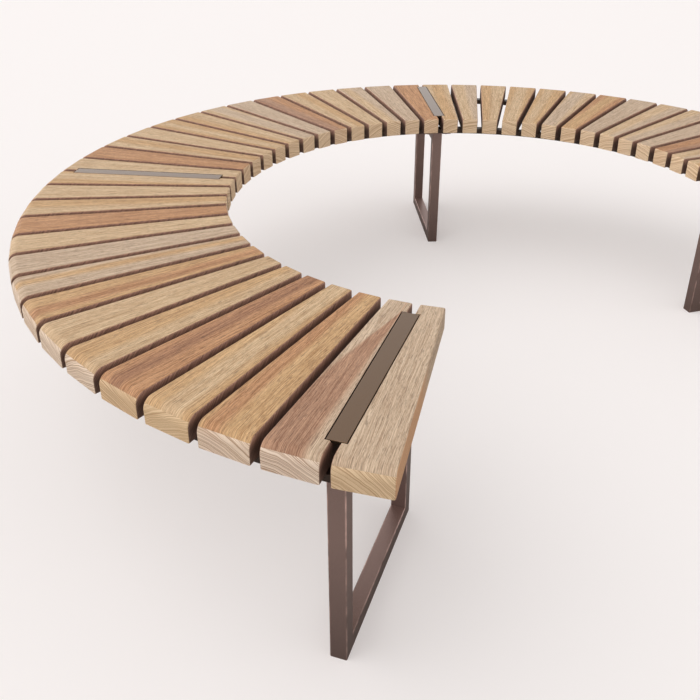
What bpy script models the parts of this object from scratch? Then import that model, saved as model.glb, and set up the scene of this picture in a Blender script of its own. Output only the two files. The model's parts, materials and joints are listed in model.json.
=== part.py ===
"""Modular park bench: a C-shaped ring seat of radial hardwood slats on steel loop frames.

Metres, +Z up. The bench is the same on both sides of the YZ plane, and the middle of its
arc points along +Y. It stands on Z = 0, with the origin under the middle of its plan.
Angles round the ring are measured from +Y, clockwise as seen from above.
"""
from math import cos, pi, radians, sin, tan

import bmesh
import bpy
from mathutils import Matrix, Vector

# Seat height and ring layout
SEAT_HEIGHT = 0.450
INNER_RADIUS = 0.634
SLAT_LENGTH = 0.476
SLAT_PITCH = radians(5.6)
SLATS_PER_MODULE = 14
MODULES = 3
END_SLATS = 1

# Seat slats
SLAT_THICKNESS = 0.045
SLAT_GAP = 0.015
OUTER_ROUNDING = 0.020
OUTER_ROUNDING_STEPS = 6
INNER_EASING = 0.004
INNER_EASING_STEPS = 2
SLAT_EASING = 0.002

# Curved rails under the slats, a rectangular tube rolled to the ring, whose outer or inner
# side stands a little past the leg frames'
RAIL_WIDTH = 0.030
RAIL_HEIGHT = 0.015
RAIL_CORNER = 0.002
OUTER_RAIL_OVERHANG = 0.018
INNER_RAIL_OVERHANG = 0.009
RAIL_JOINT = 0.002
RAIL_END_SETBACK = 0.020
RAIL_STEPS_PER_SLAT = 2

# Leg frames, closed loops of square tube
LEG_TUBE_WIDTH = 0.031
LEG_TUBE_DEPTH = 0.030
LEG_OUTER_INSET = 0.042
LEG_FRAME_WIDTH = 0.379
LEG_TUBE_CORNER = 0.0025
LEG_TUBE_CORNER_STEPS = 2

# Inlay bars, a strip flush with the seat on a web that stands on the leg frame
INLAY_WIDTH = 0.0315
INLAY_LENGTH = 0.390
INLAY_THICKNESS = 0.006
INLAY_OUTER_INSET = 0.046
INLAY_EASING = 0.0008
INLAY_WEB_THICKNESS = 0.008
INLAY_WEB_SETBACK = 0.070
INLAY_WELD = 0.002

# Fits
CONTACT = 0.0003
INLAY_CLEARANCE = 0.001
CUT_OVERRUN = 0.010

# Edges that turn more than this are sharp
SHARP_ANGLE = radians(80)

# Heights and radii that follow from the sizes above
OUTER_RADIUS = INNER_RADIUS + SLAT_LENGTH
SLAT_UNDERSIDE = SEAT_HEIGHT - SLAT_THICKNESS
RAIL_TOP = SLAT_UNDERSIDE - CONTACT
RAIL_UNDERSIDE = RAIL_TOP - RAIL_HEIGHT
LEG_FRAME_HEIGHT = RAIL_UNDERSIDE - CONTACT
LEG_OUTER_RADIUS = OUTER_RADIUS - LEG_OUTER_INSET
LEG_INNER_RADIUS = LEG_OUTER_RADIUS - LEG_FRAME_WIDTH
OUTER_RAIL_RADIUS = LEG_OUTER_RADIUS + OUTER_RAIL_OVERHANG - RAIL_WIDTH / 2
INNER_RAIL_RADIUS = LEG_INNER_RADIUS - INNER_RAIL_OVERHANG + RAIL_WIDTH / 2
INLAY_OUTER_RADIUS = OUTER_RADIUS - INLAY_OUTER_INSET
INLAY_INNER_RADIUS = INLAY_OUTER_RADIUS - INLAY_LENGTH
REBATE_DEPTH = INLAY_THICKNESS + CONTACT

SLAT_COUNT = MODULES * SLATS_PER_MODULE + 2 * END_SLATS
ARC_START = -SLAT_COUNT * SLAT_PITCH / 2
FIRST_FRAME_ANGLE = ARC_START + END_SLATS * SLAT_PITCH
MODULE_ANGLE = SLATS_PER_MODULE * SLAT_PITCH
FRAME_ANGLES = [FIRST_FRAME_ANGLE + index * MODULE_ANGLE for index in range(MODULES + 1)]

# Finishes: colour as linear RGB, roughness, metallic
FINISHES = {
    "oiled_pale_hardwood": ((0.60, 0.45, 0.30), 0.60, 0.0),
    "oiled_golden_hardwood": ((0.50, 0.33, 0.18), 0.60, 0.0),
    "oiled_red_hardwood": ((0.40, 0.22, 0.12), 0.60, 0.0),
    "bronze_powder_coat": ((0.18, 0.13, 0.10), 0.45, 0.6),
}
SLAT_TONES = ("pale", "red", "golden", "golden", "red", "pale", "pale")


def clear_scene():
    """Remove whatever the scene holds before the bench is made."""
    for thing in list(bpy.data.objects):
        bpy.data.objects.remove(thing)


def finish(name):
    """The material called name, made on first use."""
    material = bpy.data.materials.get(name)
    if material:
        return material
    colour, roughness, metallic = FINISHES[name]
    material = bpy.data.materials.new(name)
    material.use_nodes = True
    shader = material.node_tree.nodes["Principled BSDF"]
    shader.inputs["Base Color"].default_value = (*colour, 1)
    shader.inputs["Roughness"].default_value = roughness
    shader.inputs["Metallic"].default_value = metallic
    return material


def place(name, mesh, angle, centre, material):
    """A named piece from a mesh that is modelled along +Y, turned to its angle on the ring."""
    piece = bpy.data.objects.new(name, mesh)
    bpy.context.collection.objects.link(piece)
    piece.parent = centre
    piece.rotation_euler.z = -angle
    if not mesh.materials:
        mesh.materials.append(None)
    piece.material_slots[0].link = "OBJECT"
    piece.material_slots[0].material = finish(material)
    return piece


def solid_from_outline(points, place_point):
    """Face and bmesh of a flat outline, each point mapped into space by place_point."""
    model = bmesh.new()
    corners = [model.verts.new(place_point(*point)) for point in points]
    face = model.faces.new(corners)
    return model, face


def to_mesh(model, name):
    """The finished mesh of a bmesh, with its faces pointing outwards."""
    bmesh.ops.recalc_face_normals(model, faces=model.faces)
    mesh = bpy.data.meshes.new(name)
    model.to_mesh(mesh)
    model.free()
    return mesh


def arc(centre_radius, centre_height, radius, start, sweep, steps):
    """Points of an arc in the plane of radius and height."""
    turns = [start + sweep * step / steps for step in range(steps + 1)]
    return [(centre_radius + radius * cos(turn), centre_height + radius * sin(turn)) for turn in turns]


def slat_half_width(radius):
    """Half the width of a slat at a distance along its middle line, with half a gap left free."""
    return radius * tan(SLAT_PITCH / 2) - SLAT_GAP / 2 / cos(SLAT_PITCH / 2)


def slat_outline():
    """Side outline of a slat, inner end first: square below, rounded over at the outer top."""
    points = [(INNER_RADIUS, SLAT_UNDERSIDE), (OUTER_RADIUS, SLAT_UNDERSIDE)]
    points += arc(OUTER_RADIUS - OUTER_ROUNDING, SEAT_HEIGHT - OUTER_ROUNDING,
                  OUTER_ROUNDING, 0, pi / 2, OUTER_ROUNDING_STEPS)
    points += arc(INNER_RADIUS + INNER_EASING, SEAT_HEIGHT - INNER_EASING,
                  INNER_EASING, pi / 2, pi / 2, INNER_EASING_STEPS)
    return points


def make_slat_mesh():
    """A wedge-shaped slat along +Y, its four long edges and its ends lightly eased."""
    model, face = solid_from_outline(slat_outline(), lambda r, z: (slat_half_width(r), r, z))
    swept = bmesh.ops.extrude_face_region(model, geom=[face])["geom"]
    for vertex in [item for item in swept if isinstance(item, bmesh.types.BMVert)]:
        vertex.co.x = -vertex.co.x
    bmesh.ops.recalc_face_normals(model, faces=model.faces)
    sides = [face for face in model.faces if abs(face.normal.x) > cos(SLAT_PITCH)]
    rim = [edge for side in sides for edge in side.edges]
    bmesh.ops.bevel(model, geom=rim, offset=SLAT_EASING, offset_type="OFFSET", segments=1,
                    profile=0.5, affect="EDGES", material=-1, clamp_overlap=True)
    return to_mesh(model, "slat")


def rebated(mesh, side):
    """A copy of a slat's mesh with the inlay's rebate cut in the edge on one side."""
    length = INLAY_LENGTH + 2 * INLAY_CLEARANCE
    width = INLAY_WIDTH + 2 * INLAY_CLEARANCE
    depth = REBATE_DEPTH + CUT_OVERRUN
    middle = Vector((0, INLAY_INNER_RADIUS + INLAY_LENGTH / 2, SEAT_HEIGHT - REBATE_DEPTH + depth / 2))
    model = bmesh.new()
    bmesh.ops.create_cube(model, size=1)
    bmesh.ops.scale(model, vec=(width, length, depth), verts=model.verts)
    bmesh.ops.translate(model, vec=middle, verts=model.verts)
    bmesh.ops.rotate(model, cent=(0, 0, 0), matrix=Matrix.Rotation(-side * SLAT_PITCH / 2, 3, "Z"),
                     verts=model.verts)
    cutter = bpy.data.objects.new("rebate_cutter", to_mesh(model, "rebate_cutter"))
    blank = bpy.data.objects.new("rebate_blank", mesh)
    for helper in (cutter, blank):
        bpy.context.collection.objects.link(helper)
    cut = blank.modifiers.new("rebate", "BOOLEAN")
    cut.operation = "DIFFERENCE"
    cut.object = cutter
    bpy.context.view_layer.update()
    evaluated = blank.evaluated_get(bpy.context.evaluated_depsgraph_get())
    result = bpy.data.meshes.new_from_object(evaluated)
    for helper in (cutter, blank):
        bpy.data.objects.remove(helper)
    return result


def make_rail_mesh(radius, start, end, steps, name):
    """A rail of rectangular tube rolled to a radius, between two angles on the ring."""
    half_width = RAIL_WIDTH / 2
    corner = RAIL_CORNER
    outline = [(-half_width + corner, RAIL_UNDERSIDE), (half_width - corner, RAIL_UNDERSIDE),
               (half_width, RAIL_UNDERSIDE + corner), (half_width, RAIL_TOP - corner),
               (half_width - corner, RAIL_TOP), (-half_width + corner, RAIL_TOP),
               (-half_width, RAIL_TOP - corner), (-half_width, RAIL_UNDERSIDE + corner)]
    model, face = solid_from_outline(outline, lambda r, z: (0, radius + r, z))
    bmesh.ops.rotate(model, cent=(0, 0, 0), matrix=Matrix.Rotation(-start, 3, "Z"), verts=model.verts)
    bmesh.ops.spin(model, geom=[face], cent=(0, 0, 0), axis=(0, 0, 1), angle=start - end, steps=steps)
    return to_mesh(model, name)


def make_leg_frame_mesh():
    """A closed loop of square tube in the plane through the ring's axis, mitred at its corners."""
    inner_low, inner_high = LEG_TUBE_DEPTH, LEG_FRAME_HEIGHT - LEG_TUBE_DEPTH
    near, far = LEG_INNER_RADIUS, LEG_OUTER_RADIUS
    outer = [(near, 0), (far, 0), (far, LEG_FRAME_HEIGHT), (near, LEG_FRAME_HEIGHT)]
    near, far = near + LEG_TUBE_DEPTH, far - LEG_TUBE_DEPTH
    inner = [(near, inner_low), (far, inner_low), (far, inner_high), (near, inner_high)]
    model = bmesh.new()
    rings = [[model.verts.new((-LEG_TUBE_WIDTH / 2, *point)) for point in ring] for ring in (outer, inner)]
    for corner in range(len(outer)):
        before = corner - 1
        model.faces.new((rings[0][before], rings[0][corner], rings[1][corner], rings[1][before]))
    swept = bmesh.ops.extrude_face_region(model, geom=model.faces[:])["geom"]
    moved = [item for item in swept if isinstance(item, bmesh.types.BMVert)]
    bmesh.ops.translate(model, vec=(LEG_TUBE_WIDTH, 0, 0), verts=moved)
    bmesh.ops.recalc_face_normals(model, faces=model.faces)
    arrises = [edge for edge in model.edges if edge.calc_face_angle(0) > SHARP_ANGLE
               and abs(edge.verts[0].co.x - edge.verts[1].co.x) < LEG_TUBE_WIDTH / 2]
    bmesh.ops.bevel(model, geom=arrises, offset=LEG_TUBE_CORNER, offset_type="OFFSET",
                    segments=LEG_TUBE_CORNER_STEPS, profile=0.5, affect="EDGES", material=-1,
                    clamp_overlap=True)
    return to_mesh(model, "leg_frame")


def make_inlay_mesh():
    """The strip let into the seat, with the web that carries it on the leg frame."""
    half_strip = INLAY_WIDTH / 2
    half_web = INLAY_WEB_THICKNESS / 2
    top = SEAT_HEIGHT
    under = top - INLAY_THICKNESS
    foot = LEG_FRAME_HEIGHT + CONTACT
    ease = INLAY_EASING
    weld = half_web + INLAY_WELD
    strip = [(-half_strip, under), (half_strip, under), (half_strip, top - ease),
             (half_strip - ease, top), (-half_strip + ease, top), (-half_strip, top - ease)]
    model, face = solid_from_outline(strip, lambda x, z: (x, INLAY_INNER_RADIUS, z))
    swept = bmesh.ops.extrude_face_region(model, geom=[face])["geom"]
    moved = [item for item in swept if isinstance(item, bmesh.types.BMVert)]
    bmesh.ops.translate(model, vec=(0, INLAY_LENGTH, 0), verts=moved)
    strip_mesh = to_mesh(model, "inlay_strip")
    web = [(-half_web, foot), (half_web, foot), (half_web, under - INLAY_WELD), (weld + ease, under + ease),
           (-weld - ease, under + ease), (-half_web, under - INLAY_WELD)]
    web_start = INLAY_INNER_RADIUS + INLAY_WEB_SETBACK
    web_length = INLAY_LENGTH - 2 * INLAY_WEB_SETBACK
    model, face = solid_from_outline(web, lambda x, z: (x, web_start, z))
    swept = bmesh.ops.extrude_face_region(model, geom=[face])["geom"]
    moved = [item for item in swept if isinstance(item, bmesh.types.BMVert)]
    bmesh.ops.translate(model, vec=(0, web_length, 0), verts=moved)
    web_mesh = to_mesh(model, "inlay_web")
    return joined(strip_mesh, web_mesh)


def joined(first, second):
    """The union of two meshes, as one closed body."""
    pieces = [bpy.data.objects.new(mesh.name, mesh) for mesh in (first, second)]
    for piece in pieces:
        bpy.context.collection.objects.link(piece)
    union = pieces[0].modifiers.new("union", "BOOLEAN")
    union.operation = "UNION"
    union.object = pieces[1]
    bpy.context.view_layer.update()
    evaluated = pieces[0].evaluated_get(bpy.context.evaluated_depsgraph_get())
    result = bpy.data.meshes.new_from_object(evaluated)
    for piece in pieces:
        bpy.data.objects.remove(piece)
    return result


def plan_reach(mesh, angle):
    """Lowest and highest Y of a piece modelled along +Y once it is turned to its angle."""
    turned = [(Matrix.Rotation(-angle, 3, "Z") @ vertex.co).y for vertex in mesh.vertices]
    return min(turned), max(turned)


def make_ring_centre(slat_mesh):
    """The empty on the ring's axis, set so that the origin lies under the middle of the plan."""
    reaches = [plan_reach(slat_mesh, slat_angle(index)) for index in range(SLAT_COUNT)]
    lowest = min(low for low, high in reaches)
    highest = max(high for low, high in reaches)
    centre = bpy.data.objects.new("ring_centre", None)
    bpy.context.collection.objects.link(centre)
    centre.location.y = -(lowest + highest) / 2
    return centre


def slat_angle(index):
    """Angle of a slat's middle line, counted from the bench's first end."""
    return ARC_START + (index + 1 / 2) * SLAT_PITCH


def add_slats(slat_mesh, centre):
    """All the slats; the two beside each leg frame have a rebate on the side of its inlay bar."""
    rebate_after = rebated(slat_mesh, 1)
    rebate_before = rebated(slat_mesh, -1)
    frame_gaps = [END_SLATS + index * SLATS_PER_MODULE for index in range(MODULES + 1)]
    for index in range(SLAT_COUNT):
        mesh = slat_mesh
        if index + 1 in frame_gaps:
            mesh = rebate_after
        if index in frame_gaps:
            mesh = rebate_before
        tone = SLAT_TONES[index % len(SLAT_TONES)]
        place(f"slat_{index + 1:02d}", mesh, slat_angle(index), centre, f"oiled_{tone}_hardwood")


def add_rails(centre):
    """An inner and an outer rail for each module; the end ones run on under the end slats."""
    overhang = END_SLATS * SLAT_PITCH
    for label, radius in (("inner", INNER_RAIL_RADIUS), ("outer", OUTER_RAIL_RADIUS)):
        joint = RAIL_JOINT / 2 / radius
        setback = RAIL_END_SETBACK / radius
        for index in range(MODULES):
            start = FRAME_ANGLES[index] + joint
            end = FRAME_ANGLES[index + 1] - joint
            slats = SLATS_PER_MODULE
            if index == 0:
                start = FRAME_ANGLES[index] - overhang + setback
                slats += END_SLATS
            if index == MODULES - 1:
                end = FRAME_ANGLES[index + 1] + overhang - setback
                slats += END_SLATS
            name = f"{label}_rail_{index + 1}"
            mesh = make_rail_mesh(radius, start, end, slats * RAIL_STEPS_PER_SLAT, name)
            place(name, mesh, 0, centre, "bronze_powder_coat")


def add_frames(centre):
    """A leg frame and an inlay bar at each module joint and at both ends."""
    leg_mesh = make_leg_frame_mesh()
    inlay_mesh = make_inlay_mesh()
    for index, angle in enumerate(FRAME_ANGLES, start=1):
        place(f"leg_frame_{index}", leg_mesh, angle, centre, "bronze_powder_coat")
        place(f"inlay_bar_{index}", inlay_mesh, angle, centre, "bronze_powder_coat")


def main():
    clear_scene()
    slat_mesh = make_slat_mesh()
    centre = make_ring_centre(slat_mesh)
    add_slats(slat_mesh, centre)
    add_rails(centre)
    add_frames(centre)


main()
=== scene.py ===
"""Modular park bench: finished slats, inlay bars, rails and leg frames in a pale studio.

Metres, +Z up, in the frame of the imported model: the middle of the bench's arc points along
+Y, the ground is Z = 0 and X = 0 is the plane of symmetry. Angles round the ring are
measured from +Y, clockwise as seen from above. A piece is modelled along +Y from the ring's
centre and then turned to its place.
"""
import json
import random
from math import cos, pi, radians, sin, tan

import bmesh
import bpy
from bpy.props import FloatProperty, FloatVectorProperty, PointerProperty
from bpy.types import Operator, Panel, PropertyGroup
from mathutils import Matrix, Vector


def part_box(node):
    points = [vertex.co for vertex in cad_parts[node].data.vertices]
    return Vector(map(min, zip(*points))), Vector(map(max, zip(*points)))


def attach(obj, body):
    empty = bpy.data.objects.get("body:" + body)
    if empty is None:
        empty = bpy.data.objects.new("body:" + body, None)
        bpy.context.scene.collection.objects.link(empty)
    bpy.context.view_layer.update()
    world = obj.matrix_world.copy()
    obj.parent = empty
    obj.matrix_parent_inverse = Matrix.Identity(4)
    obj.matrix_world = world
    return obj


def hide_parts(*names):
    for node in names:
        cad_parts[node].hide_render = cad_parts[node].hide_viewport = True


bl_info = {
    "name": "Modular Park Bench",
    "version": (1, 0, 0),
    "blender": (4, 5, 0),
    "location": "View3D > Sidebar > Bench",
    "description": "A ring bench of hardwood slats on steel loop frames, with its studio",
    "category": "Add Mesh",
}

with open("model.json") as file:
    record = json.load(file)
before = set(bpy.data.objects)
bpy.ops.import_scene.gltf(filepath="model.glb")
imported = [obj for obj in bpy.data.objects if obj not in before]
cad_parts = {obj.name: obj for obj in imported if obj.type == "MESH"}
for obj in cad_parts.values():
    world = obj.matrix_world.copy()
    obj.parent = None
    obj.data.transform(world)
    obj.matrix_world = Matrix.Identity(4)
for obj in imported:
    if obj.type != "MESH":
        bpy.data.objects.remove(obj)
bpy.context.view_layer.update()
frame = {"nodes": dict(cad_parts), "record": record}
BODY = "root"
MM = 0.001


# Layout of the ring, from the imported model

def node_count(prefix):
    """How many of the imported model's nodes have names that start with prefix."""
    return sum(name.startswith(prefix) for name in frame["nodes"])


SLAT_COUNT = node_count("slat_")
FRAME_COUNT = node_count("leg_frame_")
END_SLATS = 1
SLATS_PER_MODULE = (SLAT_COUNT - 2 * END_SLATS) // (FRAME_COUNT - 1)
SLAT_PITCH = radians(5.6)
ARC_START = -SLAT_COUNT * SLAT_PITCH / 2
FRAME_GAPS = [END_SLATS + index * SLATS_PER_MODULE for index in range(FRAME_COUNT)]
FRAME_ANGLES = [ARC_START + gap * SLAT_PITCH for gap in FRAME_GAPS]

LOOP_LOW, LOOP_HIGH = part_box("leg_frame_2")
LOOP_MIDDLE = (LOOP_LOW + LOOP_HIGH) / 2
RING_CENTRE = Vector((0, LOOP_MIDDLE.y + LOOP_MIDDLE.x / tan(-FRAME_ANGLES[1]), 0))
LOOP_RADIUS = (LOOP_MIDDLE - RING_CENTRE).xy.length
SLAT_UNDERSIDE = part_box("slat_01")[0].z
SEAT_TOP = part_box("slat_01")[1].z
RAIL_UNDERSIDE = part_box("inner_rail_1")[0].z
RAIL_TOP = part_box("inner_rail_1")[1].z
LOOP_TOP = LOOP_HIGH.z
WEB_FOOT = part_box("inlay_bar_1")[0].z


def linear(hex_colour):
    """Linear RGB of an sRGB hex colour."""
    levels = [int(hex_colour[place:place + 2], 16) / 255 for place in (1, 3, 5)]
    return [level / 12.92 if level <= 0.04045 else ((level + 0.055) / 1.055) ** 2.4 for level in levels]


def size(name, description, default):
    """A length that a user can change, in metres."""
    return FloatProperty(name=name, description=description, default=default, unit="LENGTH", precision=4)


def colour(name, description, hex_colour):
    """A colour that a user can change, written as sRGB hex."""
    return FloatVectorProperty(name=name, description=description, default=linear(hex_colour),
                               subtype="COLOR", size=3, min=0, max=1)


def amount(name, description, default, most=10):
    """A strength or share that a user can change."""
    return FloatProperty(name=name, description=description, default=default, min=0, max=most)


class SlatSettings(PropertyGroup):
    """Sizes of the wedge-shaped slats."""
    inner_radius: size("Inner radius", "From the ring's centre to the slats' inner ends", 0.634)
    length: size("Length", "Length of a slat", 0.476)
    gap: size("Gap", "Clear gap between two slats", 0.015)
    rounding: size("Outer rounding", "Radius of the upper outer edge", 0.020)
    inner_easing: size("Inner easing", "Radius of the upper inner edge", 0.004)
    arris: size("Arris", "Radius of the eased long edges", 0.0029)


class MetalSettings(PropertyGroup):
    """Sizes of the inlay bars, rails and leg frames."""
    inlay_width: size("Inlay width", "Width of the strip in the seat", 0.0315)
    inlay_length: size("Inlay length", "Length of the strip in the seat", 0.390)
    inlay_thickness: size("Inlay thickness", "Thickness of the strip", 0.006)
    inlay_inset: size("Inlay inset", "From the slats' outer ends to the strip", 0.046)
    inlay_clearance: size("Inlay clearance", "Shadow gap round the strip", 0.0022)
    web_thickness: size("Web thickness", "Thickness of the web under the strip", 0.008)
    web_setback: size("Web setback", "From the strip's ends to the web's", 0.070)
    rail_width: size("Rail width", "Width of the rails' section", 0.030)
    rail_corner: size("Rail corner", "Corner radius of the rails' section", 0.002)
    outer_rail_overhang: size("Outer rail overhang", "From a leg frame's outer side to the rail's", 0.018)
    inner_rail_overhang: size("Inner rail overhang", "From a leg frame's inner side to the rail's", 0.009)
    rail_joint: size("Rail joint", "Gap between the rails of two modules", 0.002)
    rail_setback: size("Rail setback", "From the last slat's far side to the rail's end", 0.020)
    loop_width: size("Frame width", "Width of a leg frame, along its slats", 0.379)
    tube_width: size("Tube width", "Width of the leg tube, round the ring", 0.031)
    tube_depth: size("Tube depth", "Depth of the leg tube, along the slats", 0.030)
    tube_corner: size("Tube corner", "Corner radius of the leg tube", 0.0025)


class ColourSettings(PropertyGroup):
    """Finishes of the wood, each with its early and its late growth, and of the metal."""
    ash_light: colour("Grey tan, light", "Early growth of the greyish boards", "#E4CAAD")
    ash_dark: colour("Grey tan, dark", "Late growth of the greyish boards", "#AE8E72")
    pale_light: colour("Pale, light", "Early growth of the pale boards", "#EACCA4")
    pale_dark: colour("Pale, dark", "Late growth of the pale boards", "#B68E65")
    golden_light: colour("Golden, light", "Early growth of the golden boards", "#E6BE8C")
    golden_dark: colour("Golden, dark", "Late growth of the golden boards", "#AE8052")
    umber_light: colour("Umber, light", "Early growth of the darkest core", "#C69068")
    umber_dark: colour("Umber, dark", "Late growth of the darkest core", "#7E5238")
    russet_light: colour("Russet, light", "Early growth of the orange-brown boards", "#DDA87A")
    russet_dark: colour("Russet, dark", "Late growth of the orange-brown boards", "#9C6840")
    rose_light: colour("Rose, light", "Early growth of the reddish boards", "#CDA080")
    rose_dark: colour("Rose, dark", "Late growth of the reddish boards", "#90644A")
    # The sawn ends' colours are pale partly for the end grain and partly as painted light
    end_light: colour("Sawn end, light", "Early growth on the boards' sawn ends", "#FAE5D0")
    end_dark: colour("Sawn end, dark", "Late growth on the boards' sawn ends", "#AC886C")
    warm_end_light: colour("Warm sawn end, light", "Early growth on sawn ends further round", "#FFE2BE")
    warm_end_dark: colour("Warm sawn end, dark", "Late growth on sawn ends further round", "#B88B62")
    # Painted shade, not a colour of the wood: the long sides that face a gap, lighter near the seat and
    # darker lower down
    gap_shade: colour("Gap stain", "Weathered long sides that face a gap, near the seat", "#A67E6C")
    deep_gap_shade: colour("Deep gap stain", "Weathered long sides that face a gap, lower down", "#6A5147")
    coat: colour("Powder coat", "Bronze powder coat on the leg frames", "#A58A82")
    dull_coat: colour("Dulled coat", "Bronze powder coat on the strips, dulled by shoes", "#745941")
    # Painted shade: the rails under the seat are darkened as if in shadow
    shade_dark_coat: colour("Darkened coat", "Bronze powder coat on the rails, dirty from the gaps", "#4E4038")
    fastener: colour("Fastener", "Stainless steel of screws and bolts", "#B9B6B0")


class StudioSettings(PropertyGroup):
    """Floor, light and camera."""
    floor: colour("Floor", "Colour of the floor", "#FFF9F7")
    bounce: colour("Floor bounce", "Colour in which the floor lights the bench from below", "#A39E9A")
    glow: amount("Floor glow", "Share of the floor's colour that no shadow darkens", 0.34, 1)
    side_light: amount("Side light", "Strength of the world's light near the horizon", 1.16)
    top_light: amount("Top light", "Strength of the world's light overhead", 0.56)
    lean: amount("Lean", "How much lighter the world is towards the back left", 0.65, 1)
    key_strength: amount("Key light", "Strength of the soft light from the upper left", 0.66)
    fill_strength: amount("Fill light", "Strength of the soft light from the front right", 0.9)


# Sawn boards in order round the ring from the first end: the tone of the edges, then of the core
BOARDS = (
    "ash/ash ash/rose golden/russet golden/pale russet/umber golden/pale pale/pale golden/russet "
    "ash/golden ash/ash pale/pale russet/russet pale/golden pale/pale "
    "golden/pale pale/pale russet/russet pale/golden pale/pale golden/pale golden/pale pale/ash "
    "ash/ash russet/rose pale/golden pale/pale ash/pale ash/ash "
    "russet/russet pale/golden ash/pale pale/golden golden/pale golden/pale pale/ash russet/golden "
    "ash/ash ash/pale pale/ash ash/ash rose/russet ash/pale golden/pale ash/golden"
).split()

# Degrees by which the rings on a board's end slant, and the sawn end's tone, where they stand out
RING_SLANTS = {0: 38, 1: 26, 2: 24, 3: -18, 4: 20, 5: -14, 6: 16}
END_TONES = {0: "pale", 3: "pale", 4: "pale"}
# The first board with a warmer sawn end
WARM_ENDS_FROM = 12

# Millimetres from a board's middle line to its core, and half the core's width, where they stand out
CORE_PLACES = {0: -22, 1: 32, 2: 22, 3: 12, 4: -4, 5: -10, 7: 6, 8: 4, 11: 5}
CORE_HALVES = {0: 16, 1: 38, 2: 16, 3: 20, 4: 15, 5: 22, 7: 15, 8: 11, 11: 20}
# Where a core that runs out has its point and its full width, in metres from the ring's centre
POINTED_CORES = {1: (0.68, 1.00)}

# Distances from the ring's centre between which the free sides turn orange-brown
TAN_FROM, TAN_TO = 0.80, 0.92
# Depth below the seat's top over which the painted shade on the sides in a gap deepens
SHADE_DEPTH = 24 * MM
# A surface further than this from the middle line of its gap belongs to a rebate
REBATE_FROM_LINE = 12 * MM

# Painted shade on metal, darker towards the bottom: height where it is deepest, height where it ends, share
# of the colour left
GROUND_SHADE = (0, 260 * MM, 0.6)
# The strips' sides just below the seat's top carry painted shade, for the shadow gap round them
STRIP_SHADE = (SEAT_TOP - 2.5 * MM, SEAT_TOP - 0.5 * MM, 0.12)
# Faces narrower than this are part of a rounded arris
ARRIS_WIDTH = 2 * MM


# Placing and finishing pieces

def ring_matrix(angle):
    """The turn and move that takes a piece modelled along +Y to its angle on the ring."""
    return Matrix.Translation(RING_CENTRE) @ Matrix.Rotation(-angle, 4, "Z")


def slat_angle(index):
    """Angle of a slat's middle line, counted from the bench's first end."""
    return ARC_START + (index + 1 / 2) * SLAT_PITCH


def add_piece(name, model, material, slot, matrix=Matrix.Identity(4), sharp=radians(50)):
    """A finished piece from a bmesh, with smooth shading between its sharp edges."""
    model.transform(matrix)
    if slot == "frame_metal":
        mark_arrises(model)
    mesh = bpy.data.meshes.new(name)
    model.to_mesh(mesh)
    model.free()
    mesh.materials.append(material)
    mesh.shade_smooth()
    mesh.set_sharp_from_angle(angle=sharp)
    piece = bpy.data.objects.new(name, mesh)
    bpy.context.scene.collection.objects.link(piece)
    shading = piece.modifiers.new("even shading", "WEIGHTED_NORMAL")
    shading.keep_sharp = True
    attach(piece, BODY)
    return piece


def bevel(model, edges, radius, segments):
    """Rounds edges of a bmesh."""
    bmesh.ops.bevel(model, geom=edges, offset=radius, offset_type="OFFSET", segments=segments,
                    profile=0.5, affect="EDGES", material=-1, clamp_overlap=True)


def add_block(model, low, high):
    """A rectangular block between two corners, added to a bmesh."""
    verts = bmesh.ops.create_cube(model, size=1)["verts"]
    bmesh.ops.scale(model, vec=high - low, verts=verts)
    bmesh.ops.translate(model, vec=(low + high) / 2, verts=verts)
    return verts


def join(model, part):
    """Moves a bmesh into another one."""
    mesh = bpy.data.meshes.new("part")
    part.to_mesh(mesh)
    part.free()
    model.from_mesh(mesh)
    bpy.data.meshes.remove(mesh)


def mark_arrises(model):
    """Gives the vertices in the middle of rounded arrises a value of one, for the coat's scuffs and painted
    highlight.
    """
    arris = model.verts.layers.float.new("arris")
    for vert in model.verts:
        widths = [face.calc_area() / max(edge.calc_length() for edge in face.edges)
                  for face in vert.link_faces]
        vert[arris] = float(max(widths) < ARRIS_WIDTH)


def face_outwards(model):
    """Turns all faces of one closed shape outwards."""
    bmesh.ops.recalc_face_normals(model, faces=model.faces)
    if model.calc_volume(signed=True) < 0:
        bmesh.ops.reverse_faces(model, faces=model.faces)


def edges_where(model, test):
    """Edges whose middle point passes a test."""
    return [edge for edge in model.edges if test((edge.verts[0].co + edge.verts[1].co) / 2)]


# Materials

def add_node(tree, kind, inputs=(), **settings):
    """A shader node with its settings, and its inputs set to values or linked.

    An input given as a node is linked to that node's first output in use.
    """
    node = tree.nodes.new(kind)
    for name, value in settings.items():
        setattr(node, name, value)
    for name, value in dict(inputs).items():
        socket = node.inputs[name]
        if isinstance(value, bpy.types.Node):
            value = next(output for output in value.outputs if output.enabled)
        if isinstance(value, bpy.types.NodeSocket):
            tree.links.new(value, socket)
        else:
            socket.default_value = (*value, 1) if socket.type == "RGBA" else value
    return node


def new_material(name):
    """An empty node material, with its tree and its Principled shader."""
    material = bpy.data.materials.new(name)
    material.use_nodes = True
    return material, material.node_tree, material.node_tree.nodes["Principled BSDF"]


def streaks(tree, grain, across, along, detail=2):
    """Streaks along the grain, with their mean width and length in millimetres."""
    laid = add_node(tree, "ShaderNodeMapping", {
        "Vector": grain, "Scale": (1 / across / MM, 1 / along / MM, 1 / across / MM)})
    return add_node(tree, "ShaderNodeTexNoise", {
        "Vector": laid, "Scale": 1, "Detail": detail, "Roughness": 0.6})


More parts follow.
